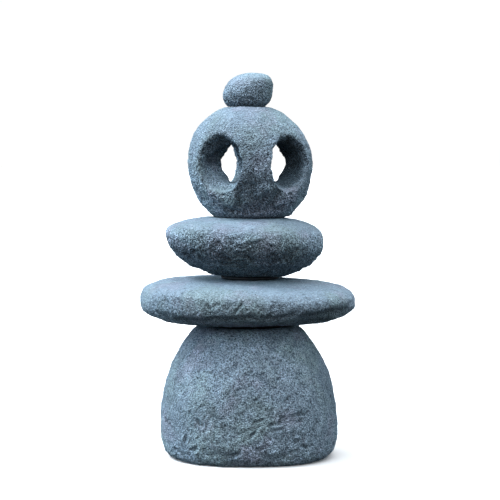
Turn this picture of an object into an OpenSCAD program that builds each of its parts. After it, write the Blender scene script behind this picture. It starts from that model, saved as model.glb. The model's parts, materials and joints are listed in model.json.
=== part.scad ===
// Stacked stone garden lantern.
// Five dressed boulders stand on one vertical axis. Each upper stone drops over a loose
// steel dowel and rests on a thin pad, so it can be turned to face any way and lifted off.
// Millimetres, +Z up, origin on the ground at the dowel axis. -Y is the front.

/* [Base stone] */
// Half of the base stone's width, along X
base_half_w = 139; // [115:1:150]
// Half of the base stone's depth, along Y
base_half_d = 137; // [110:1:150]
// Height of the base stone
base_h = 205; // [190:1:216]
// Height at which the base stone is widest
base_belly = 61; // [50:1:80]

/* [Slab] */
// Half of the slab's width
slab_half_w = 167; // [150:1:180]
// Half of the slab's depth
slab_half_d = 154; // [130:1:170]
// Thickness of the slab
slab_h = 69; // [64:1:80]
// Height of the slab's rim above its underside
slab_belly = 36; // [30:1:40]

/* [Saucer stone] */
// Half of the saucer stone's width
saucer_half_w = 125; // [105:1:135]
// Half of the saucer stone's depth
saucer_half_d = 112; // [100:1:130]
// Thickness of the saucer stone
saucer_h = 91; // [86:1:105]
// Height of the saucer stone's rim above its underside
saucer_belly = 57; // [52:1:62]

/* [Lantern head] */
// Half of the head's width
head_half_w = 97; // [90:1:105]
// Half of the head's depth
head_half_d = 95; // [90:1:105]
// Height of the head
head_h = 170; // [160:1:180]
// Height of the head's widest level, and of its windows, above its underside
head_belly = 83; // [78:1:86]
// Half of the tunnels' width
tunnel_half_w = 38.5; // [34:0.5:42]
// Half of the tunnels' height inside the head
tunnel_half_h = 31; // [28:0.5:36]
// Half of the windows' height, where the tunnels flare out to the surface
window_half_h = 46; // [42:0.5:50]
// Distance from the tunnels' crossing to the start of the flare
flare_start = 60; // [50:1:70]
// Angle between each tunnel and the front-to-back direction
tunnel_angle = 38.5; // [36:0.5:45]
// Turn of the pair of tunnels about their crossing, in degrees
tunnel_turn = 3; // [-5:0.5:5]
// How far the tunnels' crossing lies to the right of the dowel axis
tunnel_shift = 5.5; // [0:0.5:6]
// Radius of the round chamber where the tunnels cross, and of its level candle seat
chamber_r = 40; // [34:0.5:44]

/* [Finial stone] */
// Half of the finial's width
finial_half_w = 38.5; // [34:0.5:44]
// Half of the finial's depth
finial_half_d = 35; // [32:0.5:42]
// Height of the finial
finial_h = 53; // [48:1:60]
// Height of the finial's widest level above its underside
finial_belly = 23; // [20:1:28]
// How far the finial's middle lies to the left of the dowel axis
finial_offset = -4.5; // [-6:0.5:0]

/* [Dowels and pads] */
// Radius of the two lower dowels
heavy_dowel_r = 8; // [6:0.5:10]
// Radius of the dowel under the head
head_dowel_r = 6; // [5:0.5:8]
// Radius of the dowel under the finial
finial_dowel_r = 5; // [4:0.5:6]
// Gap between a dowel and the wall of its socket
dowel_gap = 1; // [0.5:0.1:2]
// Thickness of the pads under the slab, the saucer, the head and the finial
pad_h = [4, 6, 1, 1];
// Outer radius of the same pads
pad_r = [64, 46, 57, 26];

/* [Surface] */
// Corners of each stone's outline, seen from above
stone_sides = 40; // [24:4:48]
// Rings of corners below and above each stone's widest level
stone_rings = 7; // [5:1:9]

/* [Hidden] */
$fn = 64;

STONE = [0.47, 0.55, 0.62];
PAD = [0.09, 0.10, 0.11];
STEEL = [0.62, 0.64, 0.66];

// Levels of the undersides, worked out upwards from the ground.
slab_z = base_h + pad_h[0];
saucer_z = slab_z + slab_h + pad_h[1];
head_z = saucer_z + saucer_h + pad_h[2];
finial_z = head_z + head_h + pad_h[3];

// Depth of the sockets below and above each joint, from the lowest joint to the highest.
socket_below = [50, 28, 30, 25];
socket_above = [32, 38, 27, 20];
dowel_headroom = 2; // free space over a dowel, so that the stone rests on its pad
dowel_chamfer = 1.2;
pad_hole_gap = 4; // gap between a dowel and the hole of its pad
cut = 1; // overshoot of a cutting tool past the surface it opens
flare_inset = 1.5; // how far inside the tunnels' walls the flares start
mouth_inset = 9; // how far inside the head's rim a window's upper and lower edge lies
tunnel_overrun = 10; // how far the tunnels are carried on past the head's rim
chamber_rise = 8; // how far the chamber reaches above and below the tunnels

// Slope angle on a unit superellipse, of the given power, at the share w of its height.
function level_angle(w, power) = w >= 1 ? 90 : atan(w / pow(1 - pow(w, power), 1 / power));

// Distance from the centre of a unit superellipse to its edge at the given angle.
function super_radius(angle, power) =
    1 / pow(pow(abs(cos(angle)), power) + pow(abs(sin(angle)), power), 1 / power);

// Gentle irregularity of a boulder, between about -1 and 1.
function lumps(az, level, seed) = (
    sin(2 * az + 1.5 * level + seed)
    + 0.6 * sin(3 * az - 2 * level + 2.1 * seed)
    + 0.5 * sin(5 * az + 3 * level + 3.7 * seed)
    + 0.3 * sin(7 * az - 5 * level + 1.3 * seed)
) / 2;

// A boulder ground flat at its underside, z = 0, and at its top, z = h. Between them the outline
// is a superellipse that is widest at belly. The two halves may have their own power, and
// over_foot and over_crown say how far each half's full curve would run past the flat.
// foot_swing and crown_swing make the +X side of a half fuller than its -X side, tilt lifts
// the rim on the +X side, shift moves the rim towards +X, and lean moves the top towards +X.
// swell raises the shoulder on the side that faces swell_az. With round_top the upper half
// closes in a crown instead of a flat.
module boulder(half_w, half_d, h, belly, over_foot, over_crown, foot_power, crown_power,
               foot_swing = 0, crown_swing = 0, plan_power = 2.2, tilt = 0, shift = 0,
               lean = 0, swell = 0, swell_az = 0, lump = 2, dent = 0.06, seed = 0,
               round_top = false) {
    n = stone_rings;
    top_rings = round_top ? n - 1 : n;

    function belly_at(az) = belly + tilt * cos(az);
    function foot_height(az) = belly_at(az) + over_foot;
    function crown_height(az) = h - belly_at(az) + over_crown;
    function power_at(az, up) =
        up ? crown_power + crown_swing * cos(az) : foot_power + foot_swing * cos(az);
    function end_angle(az, up) = up
        ? level_angle((h - belly_at(az)) / crown_height(az), power_at(az, up))
        : level_angle(belly_at(az) / foot_height(az), power_at(az, up));
    // Irregularity fades out towards the flats, so that they stay level.
    function fade(share) = 1 - pow(share, 4);
    function plan_radius(az) = let (
        x = cos(az) / half_w,
        y = sin(az) / half_d,
        power = plan_power
    ) 1 / pow(pow(abs(x), power) + pow(abs(y), power), 1 / power);

    // The surface at azimuth az, at the given share of the way from the belly to a flat.
    function skin(az, up, share) = let (
        angle = end_angle(az, up) * share,
        edge = super_radius(angle, power_at(az, up)),
        bump = lumps(az, up ? angle : -angle, seed) * fade(share),
        across = plan_radius(az) * cos(angle) * edge * (1 + bump * lump / half_w),
        height = (up ? crown_height(az) : foot_height(az)) * sin(angle) * edge,
        sunk = height * (1 - dent * fade(share) * (1 + lumps(az + 70, angle, seed)) / 2),
        raised = up ? swell * sin(180 * share) * (1 + cos(az - swell_az)) / 2 : 0,
        z = share == 1 && !round_top ? (up ? h : 0)
            : share == 1 && !up ? 0
            : belly_at(az) + raised + (up ? sunk : -sunk)
    ) [
        across * cos(az) + shift * cos(angle) + (up ? lean * sin(angle) : 0),
        across * sin(az),
        z
    ];

    rows = [
        for (i = [n : -1 : 1]) [false, i / n],
        for (i = [0 : top_rings]) [true, i / n],
    ];
    ring_points = [
        for (row = rows, j = [0 : stone_sides - 1]) skin(j * 360 / stone_sides, row[0], row[1])
    ];
    crown = len(ring_points);
    function corner(row, j) = row * stone_sides + (j % stone_sides);
    last = len(rows) - 1;
    sides = [
        for (row = [0 : last - 1], j = [0 : stone_sides - 1])
            each [
                [corner(row, j), corner(row + 1, j), corner(row + 1, j + 1)],
                [corner(row, j), corner(row + 1, j + 1), corner(row, j + 1)],
            ]
    ];
    foot = [[for (j = [0 : stone_sides - 1]) corner(0, j)]];
    top = round_top
        ? [for (j = [0 : stone_sides - 1]) [corner(last, j), crown, corner(last, j + 1)]]
        : [[for (j = [stone_sides - 1 : -1 : 0]) corner(last, j)]];
    polyhedron(
        points = concat(ring_points, round_top ? [[lean, 0, h]] : []),
        faces = concat(foot, sides, top),
        convexity = 4
    );
}

// A blind dowel socket going down from z = 0.
module socket_down(r, depth) {
    translate([0, 0, -depth]) cylinder(r = r, h = depth + cut);
}

// A blind dowel socket going up from z = 0.
module socket_up(r, depth) {
    translate([0, 0, -cut]) cylinder(r = r, h = depth + cut);
}

// A round steel bar with chamfered ends, standing on z = 0.
module dowel(r, length) {
    color(STEEL) rotate_extrude() polygon([
        [0, 0],
        [r - dowel_chamfer, 0],
        [r, dowel_chamfer],
        [r, length - dowel_chamfer],
        [r - dowel_chamfer, length],
        [0, length],
    ]);
}

// A dowel standing in its socket across joint i, whose pad lies on z = joint_z.
module joint_dowel(i, joint_z, r) {
    translate([0, 0, joint_z - socket_below[i]])
        dowel(r, socket_below[i] + pad_h[i] + socket_above[i] - dowel_headroom);
}

// A flat rubber ring lying on z = joint_z, round the dowel of joint i.
module joint_pad(i, joint_z, dowel_r) {
    color(PAD) translate([0, 0, joint_z]) difference() {
        cylinder(r = pad_r[i], h = pad_h[i]);
        translate([0, 0, -cut])
            cylinder(r = dowel_r + pad_hole_gap, h = pad_h[i] + 2 * cut);
    }
}

module base_stone() {
    color(STONE) difference() {
        boulder(base_half_w, base_half_d, base_h, base_belly,
                over_foot = 17, over_crown = 32, foot_power = 4, crown_power = 2,
                shift = -2.5, lean = -1.5, lump = 2.5, dent = 0.03, seed = 200);
        translate([0, 0, base_h]) socket_down(heavy_dowel_r + dowel_gap, socket_below[0]);
    }
}

module slab_stone() {
    color(STONE) translate([0, 0, slab_z]) difference() {
        boulder(slab_half_w, slab_half_d, slab_h, slab_belly,
                over_foot = 1.3, over_crown = 0.4, foot_power = 2.85, crown_power = 2.9,
                foot_swing = -0.3, crown_swing = -0.4, tilt = -2, shift = -3, swell = 4,
                swell_az = 140,
                lump = 3, dent = 0.05, seed = 75);
        socket_up(heavy_dowel_r + dowel_gap, socket_above[0]);
        translate([0, 0, slab_h]) socket_down(heavy_dowel_r + dowel_gap, socket_below[1]);
    }
}

module saucer_stone() {
    color(STONE) translate([0, 0, saucer_z]) difference() {
        boulder(saucer_half_w, saucer_half_d, saucer_h, saucer_belly,
                over_foot = 6, over_crown = 1.6, foot_power = 2, crown_power = 2.75,
                foot_swing = 0.1, crown_swing = -0.2, tilt = -6, shift = -8.5, lump = 2, dent = 0.03,
                seed = 310);
        socket_up(heavy_dowel_r + dowel_gap, socket_above[1]);
        translate([0, 0, saucer_h]) socket_down(head_dowel_r + dowel_gap, socket_below[2]);
    }
}

// One tunnel through the head along X, flaring up and down towards its two windows.
module tunnel() {
    mouth = head_half_w - mouth_inset;
    reach = head_half_w + tunnel_overrun;
    flare_w = tunnel_half_w - flare_inset;
    flare_h = tunnel_half_h - flare_inset;
    growth = (window_half_h / flare_h - 1) * (reach - flare_start) / (mouth - flare_start);
    rotate([90, 0, 90]) {
        translate([0, 0, -reach]) linear_extrude(height = 2 * reach)
            scale([tunnel_half_w, tunnel_half_h]) circle(r = 1);
        for (side = [0, 1]) mirror([0, 0, side]) translate([0, 0, flare_start])
            linear_extrude(height = reach - flare_start, scale = [1, 1 + growth], slices = 2)
                scale([flare_w, flare_h]) circle(r = 1);
    }
}

module lantern_head() {
    chamber_half_h = tunnel_half_h + chamber_rise;
    color(STONE) translate([0, 0, head_z]) difference() {
        boulder(head_half_w, head_half_d, head_h, head_belly,
                over_foot = 22, over_crown = 6, foot_power = 2, crown_power = 2.08,
                foot_swing = 0.05, plan_power = 2, shift = 1, lean = -5,
                lump = 1.5, dent = 0.02, seed = 140);
        translate([tunnel_shift, 0, head_belly]) {
            for (side = [-1, 1])
                rotate([0, 0, 90 + tunnel_turn + side * tunnel_angle]) tunnel();
        }
        translate([tunnel_shift, 0, head_belly - chamber_half_h])
            cylinder(r = chamber_r, h = 2 * chamber_half_h);
        socket_up(head_dowel_r + dowel_gap, socket_above[2]);
        translate([0, 0, head_h]) socket_down(finial_dowel_r + dowel_gap, socket_below[3]);
    }
}

module finial_stone() {
    color(STONE) translate([0, 0, finial_z]) difference() {
        translate([finial_offset, 0, 0])
            boulder(finial_half_w, finial_half_d, finial_h, finial_belly,
                    over_foot = 8, over_crown = 0, foot_power = 2.4, crown_power = 2.45,
                    crown_swing = 0.35, tilt = 3.5, lean = 6, lump = 1.2, dent = 0.05, seed = 30,
                    round_top = true);
        socket_up(finial_dowel_r + dowel_gap, socket_above[3]);
    }
}

base_stone();
joint_pad(0, base_h, heavy_dowel_r);  // base_pad
joint_dowel(0, base_h, heavy_dowel_r);  // base_dowel
slab_stone();
joint_pad(1, slab_z + slab_h, heavy_dowel_r);  // slab_pad
joint_dowel(1, slab_z + slab_h, heavy_dowel_r);  // slab_dowel
saucer_stone();
joint_pad(2, saucer_z + saucer_h, head_dowel_r);  // saucer_pad
joint_dowel(2, saucer_z + saucer_h, head_dowel_r);  // saucer_dowel
lantern_head();
joint_pad(3, head_z + head_h, finial_dowel_r);  // head_pad
joint_dowel(3, head_z + head_h, finial_dowel_r);  // head_dowel
finial_stone();
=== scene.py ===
"""Looks of the stacked stone garden lantern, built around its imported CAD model.

Every CAD stone is copied, remeshed finely, smoothed, and then weathered in geometry: slow
undulation, hammer-dressed lumps, pits, and the gouges, grooves and chips of each stone. The
copies replace the CAD stones, and the pads get a squeezed, uneven edge in the same way. The
dowels keep their CAD shape. Metres, +Z up, the front faces -Y.
"""

import json
import math

import bpy
import numpy as np
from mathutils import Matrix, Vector


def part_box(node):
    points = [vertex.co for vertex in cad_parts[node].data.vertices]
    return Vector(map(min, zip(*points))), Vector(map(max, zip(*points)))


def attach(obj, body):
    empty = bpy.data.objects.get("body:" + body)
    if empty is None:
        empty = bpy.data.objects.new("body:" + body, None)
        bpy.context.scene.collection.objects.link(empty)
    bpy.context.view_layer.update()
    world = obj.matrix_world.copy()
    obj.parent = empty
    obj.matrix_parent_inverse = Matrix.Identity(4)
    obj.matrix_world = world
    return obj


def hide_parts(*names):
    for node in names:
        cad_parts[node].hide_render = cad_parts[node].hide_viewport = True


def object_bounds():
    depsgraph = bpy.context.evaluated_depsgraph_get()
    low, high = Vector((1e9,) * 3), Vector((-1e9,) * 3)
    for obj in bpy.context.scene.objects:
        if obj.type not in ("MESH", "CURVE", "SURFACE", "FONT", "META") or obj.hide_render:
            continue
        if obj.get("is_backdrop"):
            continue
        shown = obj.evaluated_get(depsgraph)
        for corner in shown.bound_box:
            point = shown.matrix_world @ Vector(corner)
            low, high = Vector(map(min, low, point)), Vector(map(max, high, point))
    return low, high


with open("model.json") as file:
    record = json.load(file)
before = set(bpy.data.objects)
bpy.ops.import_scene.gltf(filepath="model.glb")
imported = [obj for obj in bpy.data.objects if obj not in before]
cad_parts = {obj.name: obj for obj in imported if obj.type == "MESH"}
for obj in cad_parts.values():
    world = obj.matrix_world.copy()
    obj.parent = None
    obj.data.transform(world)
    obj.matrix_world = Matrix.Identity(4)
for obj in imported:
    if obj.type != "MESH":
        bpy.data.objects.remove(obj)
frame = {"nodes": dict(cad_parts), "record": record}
CAD_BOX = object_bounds()

MM = 0.001

# Each stone: its body, the size of its mesh, rounds of smoothing, the seed of its noise, the
# size of its grains, how strongly it was dressed, how rough it is and the painted light and
# shade on its colour where it faces down, level and up, and the painted light and shade on its
# left and right sides. This painted light and shade was set to suit this stage's light, seen
# from the front. It isn't known of the stone.
STONES = {
    "base_stone": {"body": "base", "voxel": 1.9 * MM, "rounds": 90, "seed": 11,
                   "grain": 4.8 * MM, "dressed": 1.3, "rough": (1.05, 0.97, 1.05),
                   "facing_light_and_shade": (1.80, 0.97, 1.88), "sides": 0.84},
    "slab_stone": {"body": "slab", "voxel": 1.9 * MM, "rounds": 40, "seed": 23,
                   "grain": 4.6 * MM, "dressed": 1.2, "rough": (1.15, 0.95, 0.5),
                   "facing_light_and_shade": (1.20, 1.02, 0.92), "sides": 1.0},
    "saucer_stone": {"body": "saucer", "voxel": 1.45 * MM, "rounds": 60, "seed": 37,
                     "grain": 4.0 * MM, "dressed": 1.0, "rough": (1.9, 1.45, 0.40),
                     "facing_light_and_shade": (0.52, 1.20, 0.86), "sides": 1.7},
    "lantern_head": {"body": "head", "voxel": 1.55 * MM, "rounds": 34, "seed": 41,
                     "grain": 3.6 * MM, "dressed": 1.0, "rough": (1.6, 1.15, 0.50),
                     "facing_light_and_shade": (1.30, 1.04, 0.93), "sides": 1.24},
    "finial_stone": {"body": "finial", "voxel": 0.75 * MM, "rounds": 60, "seed": 59,
                     "grain": 3.0 * MM, "dressed": 1.1, "rough": (1.1, 0.9, 0.40),
                     "facing_light_and_shade": (0.74, 1.08, 0.98), "sides": 1.0},
}
# Each pad's body, and the stones below and above it.
PADS = {
    "base_pad": ("base", "base_stone", "slab_stone"),
    "slab_pad": ("slab", "slab_stone", "saucer_stone"),
    "saucer_pad": ("saucer", "saucer_stone", "lantern_head"),
    "head_pad": ("head", "lantern_head", "finial_stone"),
}
DOWELS = ("base_dowel", "slab_dowel", "saucer_dowel", "head_dowel")


# ---------------------------------------------------------------- noise on arrays of points


def hashed(cell, seed):
    """A random number from 0 to 1 for each whole-numbered cell."""
    mask = 0xFFFFFFFF
    n = (cell @ np.array([374761393, 668265263, 1442695041]) + seed * 974634777) & mask
    n = ((n ^ (n >> 13)) * 1274126177) & mask
    n = ((n ^ (n >> 15)) * 1103515245) & mask
    return (n ^ (n >> 16)) / mask


def noise(points, size, seed):
    """Smooth gradient noise, about -1 to 1, whose lumps are about size metres across."""
    place = points / size
    low = np.floor(place).astype(np.int64)
    part = place - low
    ease = part**3 * (part * (part * 6 - 15) + 10)
    total = np.zeros(len(points))
    for corner in np.ndindex(2, 2, 2):
        cell = low + corner
        slope = np.stack([hashed(cell, seed + 101 * k) * 2 - 1 for k in range(3)], 1)
        weight = np.where(np.array(corner) == 1, ease, 1 - ease).prod(1)
        total += weight * (slope * (part - corner)).sum(1)
    return total * 1.6


def pits(points, size, seed, share=0.5, radius=0.36):
    """Round pits, 0 to 1, at random in a share of the cells of the given size."""
    place = points / size
    low = np.floor(place).astype(np.int64)
    depth = np.zeros(len(points))
    for step in np.ndindex(3, 3, 3):
        cell = low + np.array(step) - 1
        centre = cell + np.stack([hashed(cell, seed + 7 * k) for k in range(3)], 1)
        here = hashed(cell, seed + 31) < share
        reach = radius * (0.45 + 0.55 * hashed(cell, seed + 43))
        near = np.linalg.norm(place - centre, axis=1) / reach
        depth = np.maximum(depth, here * np.clip(1 - near**2, 0, 1))
    return depth


def grains(points, size, seed):
    """Round grains: 1 in the middle of a grain, about 0 in the seams between them."""
    place = points / size
    low = np.floor(place).astype(np.int64)
    nearest = np.full(len(points), 9.0)
    for step in np.ndindex(3, 3, 3):
        cell = low + np.array(step) - 1
        centre = cell + np.stack([hashed(cell, seed + 7 * k) for k in range(3)], 1)
        nearest = np.minimum(nearest, ((place - centre) ** 2).sum(1))
    return 1 - np.clip(nearest / 0.6, 0, 1)


def warped(points, size, amount, seed):
    """The points moved about a little, so that marks drawn on them come out uneven."""
    shift = [noise(points, size, seed + 17 * k) for k in range(3)]
    return points + amount * np.stack(shift, 1)


def gouge(points, middle, along, length, width):
    """1 on the line of a gouge, and 0 beyond. A narrow one has raised lips, a little below 0."""
    off = points - middle
    run = off @ along
    side = np.linalg.norm(off - np.outer(run, along), axis=1) / width
    lip = 0.3 if width < 4 * MM else 0.05
    across = np.exp(-(side**2)) - lip * np.exp(-1.5 * (side - 1.8) ** 2)
    return across * np.exp(-((run / length) ** 4))


# ---------------------------------------------------------------- meshes


def coords(mesh):
    flat = np.empty(len(mesh.vertices) * 3, np.float32)
    mesh.vertices.foreach_get("co", flat)
    return flat.reshape(-1, 3).astype(float)


def set_coords(mesh, points):
    mesh.vertices.foreach_set("co", points.astype(np.float32).ravel())
    mesh.update()


def normals(mesh):
    flat = np.empty(len(mesh.vertices) * 3, np.float32)
    mesh.vertices.foreach_get("normal", flat)
    return flat.reshape(-1, 3).astype(float)


def store(mesh, name, values):
    """Keeps one number per vertex, for the material to read."""
    mesh.attributes.new(name, "FLOAT", "POINT").data.foreach_set(
        "value", values.astype(np.float32)
    )


def apply_modifiers(obj):
    """Replaces an object's mesh by what its modifiers make of it."""
    graph = bpy.context.evaluated_depsgraph_get()
    made = bpy.data.meshes.new_from_object(obj.evaluated_get(graph))
    obj.modifiers.clear()
    obj.data = made


def remeshed_copy(node, name, voxel):
    """A new object with the CAD node's shape in small even quads."""
    obj = bpy.data.objects.new(name, frame["nodes"][node].data.copy())
    bpy.context.scene.collection.objects.link(obj)
    obj.data.materials.clear()
    remesh = obj.modifiers.new("Remesh", "REMESH")
    remesh.mode = "VOXEL"
    remesh.voxel_size = voxel
    apply_modifiers(obj)
    return obj


def relax(obj, rounds, freedom):
    """Smooths the mesh where freedom is above 0."""
    group = obj.vertex_groups.new(name="free")
    for step in range(1, 11):
        rows = np.nonzero(np.round(freedom * 10) == step)[0]
        group.add(rows.tolist(), step / 10, "REPLACE")
    smooth = obj.modifiers.new("Smooth", "SMOOTH")
    smooth.factor = 0.5
    smooth.iterations = rounds
    smooth.vertex_group = group.name
    apply_modifiers(obj)
    obj.vertex_groups.clear()


SEAT_FADE = (9 * MM, 7 * MM)  # how far from a seat, outward and in height, a stone is free
SOCKET_ROOM = (4 * MM, 4 * MM, 6 * MM)  # beyond a dowel, outward, downward and upward
CANDLE_ROOM = (44 * MM, 44 * MM, 4 * MM)  # the half size of what stays flat at the candle seat


def contact_freedom(points, node):
    """0 where a stone has to keep its CAD shape, at its seats and in its sockets, else up to 1."""
    free = np.ones(len(points))
    across = np.hypot(points[:, 0], points[:, 1])
    for pad, (_, below, above) in PADS.items():
        if node not in (below, above):
            continue
        low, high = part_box(pad)
        level = low[2] if node == below else high[2]
        beyond = (across - (high[0] - low[0]) / 2) / SEAT_FADE[0]
        away = np.abs(points[:, 2] - level) / SEAT_FADE[1]
        free = np.minimum(free, np.clip(np.maximum(beyond, away), 0, 1))
        low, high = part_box(pad.replace("_pad", "_dowel"))
        in_socket = across < high[0] + SOCKET_ROOM[0]
        in_socket &= points[:, 2] > low[2] - SOCKET_ROOM[1]
        in_socket &= points[:, 2] < high[2] + SOCKET_ROOM[2]
        free[in_socket] = 0
    if node == "lantern_head":
        seat = next(m for m in frame["record"]["mounts"] if m["name"] == "candle_seat")
        off = np.linalg.norm((points - seat["pos_m"]) / CANDLE_ROOM, axis=1)
        free = np.minimum(free, np.clip((off - 0.8) / 0.4, 0, 1))
    return free


# ---------------------------------------------------------------- stones


# The marks on the front of each stone: place, as shares of the half width and of the height;
# slope, as rise over run; length, width and depth in millimetres. A depth below 0 is a ridge.
MARKS = {
    "base_stone": [
        (0.35, 0.37, 0.9, 6, 2.2, 2.4), (0.56, 0.36, 0.8, 5, 2.2, 2.2),
        (0.04, 0.26, 1.2, 6, 2.2, 2.6), (0.29, 0.29, 0.1, 9, 2.0, 1.5),
        (0.13, 0.15, 0.3, 7, 2.8, 2.6), (-0.14, 0.10, 0.5, 7, 3.0, 2.6),
        (-0.69, 0.20, 2.0, 6, 3.0, 2.6), (-0.60, 0.13, 0.4, 8, 3.0, 2.4),
        (0.60, 0.15, -0.3, 7, 3.0, 2.4), (0.50, 0.13, 0.2, 8, 3.0, 2.2),
        (0.14, 0.69, 0.4, 5, 2.0, 1.6), (0.08, 0.51, 0.2, 5, 2.0, 1.6),
        (-0.02, 0.69, 0.0, 4, 2.0, 1.4), (-0.93, 0.33, -0.6, 13, 3.0, 2.8),
        (-0.87, 0.28, -0.9, 9, 3.0, 2.0), (-0.35, 0.38, -0.4, 8, 2.2, 1.4),
        (0.12, 0.36, 0.35, 7, 2.0, 1.4), (0.40, 0.42, 0.2, 7, 2.0, 1.2),
        (-0.50, 0.46, 0.6, 5, 2.0, 1.5), (-0.22, 0.56, 0.9, 4, 2.0, 1.6),
        (0.32, 0.66, 1.0, 4, 2.0, 1.6), (-0.40, 0.70, 0.7, 5, 2.0, 1.4),
        (0.52, 0.20, 0.3, 6, 2.4, 1.8), (-0.80, 0.10, -0.4, 7, 2.8, 2.2),
        (-0.30, 0.11, 0.0, 24, 7.0, 1.3), (0.30, 0.08, 0.1, 20, 6.0, 1.4),
        (0.74, 0.30, 1.5, 14, 4.0, 2.0), (-0.05, 0.04, 0.1, 20, 6.0, 1.2),
        (0.55, 0.39, 0.12, 22, 2.6, 1.5), (0.30, 0.34, 0.25, 16, 2.4, 1.3),
    ],
    "slab_stone": [
        (-0.06, 0.60, 6.0, 7, 2.2, 3.0), (-0.09, 0.52, 1.0, 6, 2.2, 1.8),
        (0.01, 0.44, 0.2, 6, 2.0, -0.9), (0.00, 0.30, 0.1, 14, 4.5, 2.2),
        (-0.20, 0.26, -0.1, 20, 5.5, 2.2), (0.20, 0.28, 0.1, 18, 5.5, 2.4),
        (0.36, 0.34, 0.5, 12, 5.5, 2.2), (0.66, 0.28, 0.22, 40, 10.0, 5.0),
        (0.88, 0.38, 0.5, 14, 7.0, 2.0), (-0.50, 0.22, -0.1, 30, 7.0, 2.0),
        (0.62, 0.16, 0.3, 24, 7.0, 3.2), (0.36, 0.10, 0.1, 18, 6.0, 2.4),
        (-0.28, 0.08, -0.1, 22, 6.0, 2.2), (-0.78, 0.30, -0.4, 14, 6.0, 1.8),
        (0.22, 0.50, 1.5, 7, 3.0, 1.2), (-0.30, 0.56, 0.8, 9, 3.0, 1.1),
        (-0.62, 0.66, -0.3, 10, 4.0, 1.0), (-0.45, 0.88, 0.0, 8, 1.6, -0.6),
        (-0.22, 0.86, 0.0, 9, 1.6, -0.6),
    ],
    "saucer_stone": [
        (0.13, 0.61, 0.2, 13, 3.4, 1.5), (0.10, 0.67, 0.1, 14, 2.2, -0.8),
        (-0.05, 0.50, 0.1, 13, 1.5, -0.6), (-0.36, 0.33, 0.1, 9, 1.5, -0.6),
        (-0.10, 0.29, -0.1, 6, 1.5, -0.6), (-0.03, 0.37, 9.0, 6, 1.5, -0.6),
        (-0.62, 0.45, 3.0, 5, 3.0, 2.4), (-0.35, 0.58, 0.6, 9, 3.0, 0.9),
        (0.45, 0.36, 0.3, 26, 9.0, 1.3), (0.70, 0.52, 0.3, 12, 5.0, 1.3),
        (-0.15, 0.42, 0.2, 20, 6.0, 0.8), (0.36, 0.56, -0.2, 9, 3.0, 0.9),
    ],
    "lantern_head": [
        (-0.16, 0.20, 7.0, 30, 7.0, 3.2), (0.04, 0.22, -9.0, 34, 8.0, 3.8),
        (0.20, 0.14, 6.0, 20, 6.0, 3.2), (0.38, 0.18, 3.0, 22, 7.0, 3.2),
        (0.10, 0.30, 0.4, 10, 5.0, 1.6), (-0.34, 0.08, -0.6, 11, 5.0, 2.0),
        (0.44, 0.09, 0.7, 10, 5.0, 2.0), (-0.06, 0.07, 8.0, 9, 4.5, 2.0),
    ],
    "finial_stone": [(0.52, 0.38, 1.0, 5, 3.0, 0.8)],
}
SCATTERED = 16  # random marks, all round each stone
FRONT_FIRST = 0.15  # how much a mark's place prefers the front of a stone to its back


def front_marks(points, outward, node):
    """The marks of a stone's front, as place, direction, length, width and depth."""
    low, high = (np.array(c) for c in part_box(node))
    for x, z, slope, length, width, depth in MARKS[node]:
        place = low + (high - low) * (0.5 + x / 2, 0, z)
        reach = np.hypot(points[:, 0] - place[0], points[:, 2] - place[2])
        found = np.argmin(reach + FRONT_FIRST * (points[:, 1] - low[1]))
        level = np.hypot(outward[found, 0], outward[found, 1])
        sideways = -outward[found, 1] / level, outward[found, 0] / level
        yield found, (*sideways, slope), length, width, depth


def scattered_marks(points, node, seed):
    """Shallow gouges at random places all round a stone."""
    low, high = (np.array(c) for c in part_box(node))
    middle, size = (low + high) / 2, high - low
    random = np.random.default_rng(seed)
    for _ in range(SCATTERED):
        turn, height = random.uniform(0, 2 * math.pi), random.uniform(0.15, 0.8)
        aim = middle + size * (0.5 * math.cos(turn), 0.5 * math.sin(turn), height - 0.5)
        found = np.argmin(np.linalg.norm(points - aim, axis=1))
        along = (-math.sin(turn), math.cos(turn), random.uniform(-1, 1))
        length, width = random.uniform(5, 12), random.uniform(2.2, 4)
        yield found, along, length, width, random.uniform(0.8, 1.8)


def weathered(points, outward, node, seed, grain, dressed, rough):
    """How far each point of a stone moves outward, and its relief, about -1 to 1.

    The slow undulation is in metres, and the lumps and the skin are in millimetres.
    """
    small = 0.6 if node == "finial_stone" else 1.0
    slow = 1.8 * MM * small * noise(points, 75 * MM * small, seed)
    slow += 1.0 * MM * small * noise(points, 32 * MM * small, seed + 1)
    lumps = 0.8 * small * noise(points, 17 * MM, seed + 2)
    lumps += 0.6 * small * noise(points, 8 * MM, seed + 3)
    lumps -= 1.1 * small * pits(points, 11 * MM, seed + 5, share=0.45, radius=0.30)
    skin = 0.75 * (grains(points, grain, seed + 4) - 0.5)
    skin += 0.45 * noise(points, grain, seed + 6)
    skin -= 1.1 * pits(points, 1.6 * grain, seed + 7, share=0.45, radius=0.38)
    skin *= rough
    uneven = warped(points, 9 * MM, 1.6 * MM, seed + 8)
    marks = list(front_marks(points, outward, node))
    marks += scattered_marks(points, node, seed)
    for found, along, length, width, depth in marks:
        along = np.array(along, float)
        along -= outward[found] * (along @ outward[found])
        along /= np.linalg.norm(along)
        lumps -= depth * gouge(uneven, points[found], along, length * MM, width * MM)
    lumps *= dressed * rough
    relief = np.clip(0.55 * lumps + 0.9 * skin, -1.5, 1.2)
    return slow + (lumps + skin) * MM, relief


def depth_inside(points, node):
    """How deep inside the hollow head a point is, as a share of its size. Below 0.03 outside."""
    if node != "lantern_head":
        return np.zeros(len(points))
    low, high = (np.array(c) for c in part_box(node))
    middle, half = (low + high) / 2, (high - low) / 2
    return 1 - np.linalg.norm((points - middle) / half, axis=1)
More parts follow.
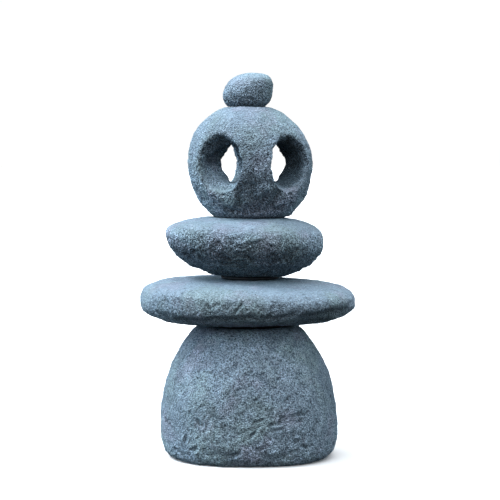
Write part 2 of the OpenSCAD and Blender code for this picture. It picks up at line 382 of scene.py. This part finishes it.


# Painted shade right at the ground, painted light above it, and painted shade on the base's
# shoulder, under the slab.
LIGHT_AND_SHADE_HEIGHTS = np.array((3, 14, 60, 130, 186, 202, 207, 209)) * MM
LIGHT_AND_SHADE_BY_HEIGHT = (0.6, 1.15, 1.15, 1.0, 1.0, 0.66, 0.66, 1.0)
INNER_SHADE_RIGHT = 0.9  # the share of the colour taken by painted shade at the right of the head's inside
INNER_SHADE_REACH = 50 * MM  # how far left and right of the middle the painted shade inside the head goes on changing


def painted_light_and_shade(points, outward, free, depth, facing_light_and_shade, sides):
    """Painted light and shade at each point of a stone, as a factor on its colour.

    It goes by the stone's own directions and moves with the stone, not with the camera.
    """
    # Painted light and shade: paler or darker by which way the surface faces, and on the left and
    # right sides.
    tone = np.interp(outward[:, 2], (-0.5, 0.1, 0.7), facing_light_and_shade)
    tone *= np.interp(np.abs(outward[:, 0]), (0.55, 0.95), (1, sides))
    tone *= 0.35 + 0.65 * free  # painted shade where the stones meet
    # painted shade at the ground and under the slab, painted light just above the ground
    tone *= np.interp(points[:, 2], LIGHT_AND_SHADE_HEIGHTS, LIGHT_AND_SHADE_BY_HEIGHT)
    # Painted shade inside the hollow head, darker on the ceilings and towards the right.
    left = np.interp(outward[:, 2], (-0.1, 0.5), (0.5, -0.8))  # at the left end: painted shade on inner ceilings, painted light on inner floors
    across = np.interp(points[:, 0], (-INNER_SHADE_REACH, INNER_SHADE_REACH), (0, 1))
    inner_shade = left + (INNER_SHADE_RIGHT - left) * across
    return tone * (1 - inner_shade * np.interp(depth, (0.04, 0.18), (0, 1)))


def build_stone(node, body, voxel, rounds, seed, grain, dressed, rough, facing_light_and_shade, sides):
    """A weathered copy of a CAD stone, which takes its place."""
    stone = remeshed_copy(node, node + "_dressed", voxel)
    relax(stone, rounds, contact_freedom(coords(stone.data), node))
    points = coords(stone.data)
    outward = normals(stone.data)
    free = contact_freedom(points, node)
    rough = np.interp(outward[:, 2], (-0.5, 0.0, 0.8), rough)
    push, relief = weathered(points, outward, node, seed, grain, dressed, rough)
    depth = depth_inside(points, node)
    tone = painted_light_and_shade(points, outward, free, depth, facing_light_and_shade, sides)
    rough = np.maximum(rough, np.interp(depth, (0.03, 0.08), (0, 1.25)))
    points += outward * (push * free)[:, None]
    if node == "base_stone":
        points[:, 2] = np.maximum(points[:, 2], 0)
    set_coords(stone.data, points)
    store(stone.data, "relief", relief * free)
    # the painted light and shade, for the material to put on the colour
    store(stone.data, "tone", tone)
    store(stone.data, "rough", rough)
    stone.data.polygons.foreach_set("use_smooth", [True] * len(stone.data.polygons))
    stone.data.materials.append(stone_material(node, seed))
    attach(stone, body)
    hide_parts(node)


# ---------------------------------------------------------------- pads


PAD_SEED = 300  # the first pad's seed
PAD_SIDES = 180  # corners round a pad's outline
PAD_EDGE_STEPS = 10  # steps over its rounded edge
PAD_HOLE_GAP = 4 * MM  # between a dowel and its pad
PAD_MARGIN = 0.9 * MM  # how far inside the CAD pad's outline the uneven one lies


def build_pad(pad, body, seed, rubber):
    """A squeezed rubber ring: round edges, uneven outline, faces level with the CAD pad's."""
    low, high = (Vector(c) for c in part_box(pad))
    outer = (high.x - low.x) / 2
    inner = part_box(pad.replace("_pad", "_dowel"))[1][0] + PAD_HOLE_GAP
    thick = high.z - low.z
    bulge = min(thick * 0.5, 2 * MM)
    turns, edge = PAD_SIDES, PAD_EDGE_STEPS
    section = [(inner, 0.0)]
    section += [
        (outer - bulge + bulge * math.sin(math.pi * k / edge), k / edge)
        for k in range(edge + 1)
    ]
    section.append((inner, 1.0))
    angles = np.linspace(0, 2 * math.pi, turns, endpoint=False)
    wave = np.stack([np.cos(angles), np.sin(angles), np.zeros(turns)], 1) * 0.03
    uneven = 0.9 * MM * noise(wave, 9 * MM, seed) + 0.4 * MM * noise(wave, 3 * MM, seed + 1)
    verts = []
    for radius, share in section:
        lift = low.z + thick * share
        for angle, more in zip(angles, uneven):
            r = radius + (more - PAD_MARGIN if radius > inner else 0)
            verts.append((r * math.cos(angle), r * math.sin(angle), lift))
    rows = len(section)
    faces = [
        (
            row * turns + k,
            row * turns + (k + 1) % turns,
            (row + 1) % rows * turns + (k + 1) % turns,
            (row + 1) % rows * turns + k,
        )
        for row in range(rows)
        for k in range(turns)
    ]
    mesh = bpy.data.meshes.new(pad + "_ring")
    mesh.from_pydata(verts, [], faces)
    mesh.update()
    ring = bpy.data.objects.new(pad + "_ring", mesh)
    bpy.context.scene.collection.objects.link(ring)
    mesh.materials.append(rubber)
    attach(ring, body)
    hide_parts(pad)


# ---------------------------------------------------------------- materials


def add_node(tree, kind, inputs, **settings):
    """A new node. Each input is given as a value, or as the socket that feeds it."""
    made = tree.nodes.new(kind)
    for key, value in settings.items():
        setattr(made, key, value)
    for key, value in inputs.items():
        if isinstance(value, bpy.types.NodeSocket):
            tree.links.new(value, made.inputs[key])
        else:
            made.inputs[key].default_value = value
    return made


class Nodes:
    """Short calls for building one material."""

    def __init__(self, name):
        self.material = bpy.data.materials.new(name)
        self.material.use_nodes = True
        self.tree = self.material.node_tree
        self.shader = self.tree.nodes["Principled BSDF"]
        self.place = self.add("ShaderNodeTexCoord").outputs["Object"]

    def add(self, kind, inputs=None, **settings):
        return add_node(self.tree, kind, inputs or {}, **settings)

    def noise(self, scale, detail=2.0, rough=0.5, place=None):
        inputs = {"Vector": place or self.place, "Scale": scale, "Detail": detail,
                  "Roughness": rough}
        return self.add("ShaderNodeTexNoise", inputs).outputs["Fac"]

    def cells(self, scale):
        """A random grey, 0 to 1, for each cell of a Voronoi pattern."""
        inputs = {"Vector": self.place, "Scale": scale}
        colour = self.add("ShaderNodeTexVoronoi", inputs).outputs["Color"]
        return self.add("ShaderNodeSeparateColor", {"Color": colour}).outputs["Red"]

    def distance(self, scale):
        """The distance, 0 to about 1, to the middle of the nearest cell."""
        inputs = {"Vector": self.place, "Scale": scale}
        return self.add("ShaderNodeTexVoronoi", inputs).outputs["Distance"]

    def span(self, value, start, end, low, high):
        """Carries value from the range start..end to the range low..high."""
        inputs = {"Value": value, "From Min": start, "From Max": end, "To Min": low,
                  "To Max": high}
        return self.add("ShaderNodeMapRange", inputs).outputs["Result"]

    def math(self, operation, a, b):
        return self.add("ShaderNodeMath", {0: a, 1: b}, operation=operation).outputs[0]

    def mix(self, share, a, b, blend="MIX"):
        inputs = {0: share, 6: a, 7: b}
        made = self.add("ShaderNodeMix", inputs, data_type="RGBA", blend_type=blend)
        return made.outputs[2]

    def value(self, name):
        return self.add("ShaderNodeAttribute", attribute_name=name).outputs["Fac"]

    def grey(self, value):
        made = self.add("ShaderNodeCombineColor", {"Red": value, "Green": value, "Blue": value})
        return made.outputs["Color"]

    def link(self, value, socket):
        self.tree.links.new(value, self.shader.inputs[socket])


STONE_PALE = (0.228, 0.305, 0.380, 1)
STONE_DEEP = (0.182, 0.245, 0.309, 1)
STONE_GREEN = (0.190, 0.266, 0.278, 1)
STONE_VIOLET = (0.238, 0.256, 0.335, 1)
CRYSTAL = (0.38, 0.46, 0.54, 1)
SOOT = (0.032, 0.045, 0.060, 1)


def stone_material(node, seed):
    """Blue-grey granular stone: slow tone changes, pale grains, dark seams, and painted shade in
    the pits and painted light on the bumps.
    """
    n = Nodes(node + "_granite")
    moved = n.add("ShaderNodeVectorMath", {0: n.place, 1: (seed * 0.1, seed * 0.07, 0)})
    n.place = moved.outputs["Vector"]
    colour = n.mix(n.span(n.noise(13, 3, 0.55), 0.35, 0.65, 0, 1), STONE_DEEP, STONE_PALE)
    colour = n.mix(n.span(n.noise(14, 3), 0.46, 0.62, 0, 0.6), colour, STONE_GREEN)
    colour = n.mix(n.span(n.noise(19, 3), 0.52, 0.66, 0, 0.6), colour, STONE_VIOLET)
    relief = n.value("relief")
    grain = n.math("MULTIPLY", n.span(n.distance(520), 0.0, 0.75, 1, 0), 0.45)
    grain = n.math("ADD", grain, n.noise(640, 3, 0.65))
    knobs = n.math("MULTIPLY", n.span(n.distance(290), 0.0, 0.75, 1, 0), 0.6)
    speckle = n.math("MULTIPLY", n.span(grain, 0.45, 0.98, -0.82, 0.82), n.value("rough"))
    speckle = n.math("MAXIMUM", n.math("ADD", speckle, 1), 0.12)
    # painted shade in the hollows and painted light on the bumps
    speckle = n.math("MULTIPLY", speckle, n.span(relief, -0.9, 0.6, 0.50, 1.25))
    # the painted light and shade of the tone attribute
    speckle = n.math("MULTIPLY", speckle, n.value("tone"))
    colour = n.mix(1.0, colour, n.grey(speckle), "MULTIPLY")
    colour = n.mix(n.span(n.cells(420), 0.93, 0.98, 0, 0.4), colour, CRYSTAL)
    colour = n.mix(n.span(n.cells(470), 0.10, 0.04, 0, 0.6), colour, SOOT)
    n.link(colour, "Base Color")
    n.link(n.span(grain, 0.4, 1.0, 0.97, 0.84), "Roughness")
    n.shader.inputs["Specular IOR Level"].default_value = 0.25
    n.shader.inputs["Sheen Weight"].default_value = 0.36
    n.shader.inputs["Sheen Roughness"].default_value = 0.3
    n.shader.inputs["Sheen Tint"].default_value = (0.46, 0.76, 1.0, 1)
    bump = n.add("ShaderNodeBump", {"Strength": n.span(n.value("rough"), 0.3, 1.0, 0.4, 1.0),
                                    "Distance": 3.2 * MM,
                                    "Height": n.math("ADD", grain, knobs)})
    n.link(bump.outputs["Normal"], "Normal")
    return n.material


def rubber_material():
    """Black pad rubber, dusted with stone."""
    n = Nodes("pad_rubber")
    dust = n.span(n.noise(190, 4, 0.65), 0.5, 0.7, 0, 0.5)
    n.link(n.mix(dust, (0.004, 0.007, 0.010, 1), (0.016, 0.030, 0.040, 1)), "Base Color")
    n.link(n.span(dust, 0, 0.5, 0.62, 0.95), "Roughness")
    bump = n.add("ShaderNodeBump", {"Strength": 0.5, "Distance": 0.4 * MM,
                                    "Height": n.noise(900, 3)})
    n.link(bump.outputs["Normal"], "Normal")
    return n.material


def steel_material():
    """Turned stainless bar: fine rings round the axis, and a little tarnish."""
    n = Nodes("dowel_steel")
    rings = n.add("ShaderNodeMapping", {"Vector": n.place, "Scale": (40, 40, 4200)})
    turned = n.noise(1, 2, 0.5, rings.outputs["Vector"])
    tarnish = n.span(n.noise(70, 4, 0.6), 0.45, 0.7, 0, 0.6)
    steel = n.mix(turned, (0.46, 0.47, 0.48, 1), (0.66, 0.67, 0.68, 1))
    n.link(n.mix(tarnish, steel, (0.30, 0.27, 0.23, 1)), "Base Color")
    n.link(n.span(turned, 0.3, 0.7, 0.26, 0.44), "Roughness")
    n.shader.inputs["Metallic"].default_value = 1.0
    bump = n.add("ShaderNodeBump", {"Strength": 0.3, "Distance": 0.1 * MM, "Height": turned})
    n.link(bump.outputs["Normal"], "Normal")
    return n.material


# ---------------------------------------------------------------- stage


CAMERA_PLACE = (0, -3.125, 0.51)
CAMERA_TARGET = (0, 0, 0.323)
LENS = 144  # focal length, and then the sensor's width, in millimetres
SENSOR = 36


def build_camera():
    """A long lens about three metres away, level with the upper half of the head."""
    data = bpy.data.cameras.new("Camera")
    data.lens = LENS
    data.sensor_width = SENSOR
    camera = bpy.data.objects.new("Camera", data)
    bpy.context.scene.collection.objects.link(camera)
    camera.location = CAMERA_PLACE
    aim = Vector(CAMERA_TARGET) - camera.location
    camera.rotation_euler = aim.to_track_quat("-Z", "Y").to_euler()
    bpy.context.scene.camera = camera


def stage_mesh(name, verts, faces, material):
    """A floor or backdrop. It throws no light on the stones, as their rays don't see it."""
    mesh = bpy.data.meshes.new(name)
    mesh.from_pydata(verts, [], faces)
    mesh.materials.append(material)
    obj = bpy.data.objects.new(name, mesh)
    obj.visible_diffuse = False
    obj.visible_glossy = False
    obj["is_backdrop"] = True
    bpy.context.scene.collection.objects.link(obj)
    return obj


STAGE_RADIUS = 24


def build_floor():
    """A wide pale floor. It takes shadows but throws no light up, as dark ground would."""
    n = Nodes("floor_pale")
    n.shader.inputs["Base Color"].default_value = (0.75, 0.75, 0.75, 1)
    n.shader.inputs["Roughness"].default_value = 0.95
    n.shader.inputs["Specular IOR Level"].default_value = 0
    half = STAGE_RADIUS + 1
    corners = [(-half, -half, 0), (half, -half, 0), (half, half, 0), (-half, half, 0)]
    stage_mesh("floor", corners, [(0, 1, 2, 3)], n.material)


def build_backdrop():
    """A plain white wall all round, far away. It throws no shadow."""
    n = Nodes("backdrop_white")
    n.shader.inputs["Base Color"].default_value = (0, 0, 0, 1)
    n.shader.inputs["Specular IOR Level"].default_value = 0
    n.shader.inputs["Emission Color"].default_value = (1, 1, 1, 1)
    n.shader.inputs["Emission Strength"].default_value = 1.02
    sides = 48
    turns = [2 * math.pi * k / sides for k in range(sides)]
    verts = [
        (STAGE_RADIUS * math.cos(turn), STAGE_RADIUS * math.sin(turn), height)
        for height in (-0.5, 40) for turn in turns
    ]
    faces = [(k, (k + 1) % sides, (k + 1) % sides + sides, k + sides) for k in range(sides)]
    wall = stage_mesh("backdrop", verts, faces, n.material)
    wall.visible_shadow = False
    wall.visible_transmission = False


SKY_BRIGHTEST = Vector((-0.28, -0.02, 0.95))  # the way to the sky's brightest spot
SKY_LOBE = 4.0  # how much brighter the sky is there
SKY_EVEN = 0.47  # light from everywhere above the horizon
SKY_COLOUR = (0.95, 0.99, 1.03, 1)
GROUND = 0.08  # light from below
HORIZON = 0.1  # how far up and down the horizon is blurred


def build_sky():
    """Soft daylight, brightest high on the left, over dark ground."""
    world = bpy.data.worlds.new("World")
    bpy.context.scene.world = world
    world.use_nodes = True
    tree = world.node_tree

    def math_node(operation, a, b):
        return add_node(tree, "ShaderNodeMath", {0: a, 1: b}, operation=operation).outputs[0]

    place = add_node(tree, "ShaderNodeTexCoord", {}).outputs["Generated"]
    dot = add_node(tree, "ShaderNodeVectorMath", {0: place, 1: SKY_BRIGHTEST.normalized()},
                   operation="DOT_PRODUCT")
    lobe = math_node("MAXIMUM", dot.outputs["Value"], 0)
    lobe = math_node("MULTIPLY", math_node("POWER", lobe, 2), SKY_LOBE)
    height = add_node(tree, "ShaderNodeSeparateXYZ", {0: place}).outputs["Z"]
    even = add_node(tree, "ShaderNodeMapRange", {
        "Value": height, "From Min": -HORIZON, "From Max": HORIZON, "To Min": GROUND,
        "To Max": SKY_EVEN,
    })
    background = tree.nodes["Background"]
    background.inputs["Color"].default_value = SKY_COLOUR
    tree.links.new(math_node("ADD", lobe, even.outputs["Result"]),
                   background.inputs["Strength"])


# Each sun: the way its light goes, its strength and colour, and its spread in degrees.
SUNS = {
    "Key": ((0.54, 0.10, -0.83), 2.4, (0.84, 0.95, 1.02), 20),
    "Fill": ((0.15, 0.88, -0.45), 0.45, (0.98, 1.0, 1.0), 60),
    "Left": ((0.96, 0.06, -0.26), 0.75, (0.55, 0.90, 1.24), 50),
    "Right": ((-0.96, 0.06, -0.26), 0.72, (0.82, 0.98, 1.08), 50),
}


def build_sun(name, direction, strength, colour, spread):
    data = bpy.data.lights.new(name, "SUN")
    data.energy = strength
    data.color = colour
    data.angle = math.radians(spread)
    sun = bpy.data.objects.new(name, data)
    bpy.context.scene.collection.objects.link(sun)
    sun.rotation_euler = Vector(direction).to_track_quat("-Z", "Y").to_euler()


def build_stage():
    build_camera()
    build_floor()
    build_backdrop()
    build_sky()
    for name, sun in SUNS.items():
        build_sun(name, *sun)
    view = bpy.context.scene.view_settings
    view.view_transform = "Standard"
    view.look = "None"


# ---------------------------------------------------------------- the lantern


build_stage()
for node, stone in STONES.items():
    build_stone(node, **stone)
rubber = rubber_material()
for number, (pad, (body, _, _)) in enumerate(PADS.items()):
    build_pad(pad, body, PAD_SEED + 10 * number, rubber)
steel = steel_material()
for dowel in DOWELS:
    frame["nodes"][dowel].data.materials.clear()
    frame["nodes"][dowel].data.materials.append(steel)

sizes = {"cad": CAD_BOX, "visual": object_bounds()}
{name: [list(corner) for corner in box] for name, box in sizes.items()}
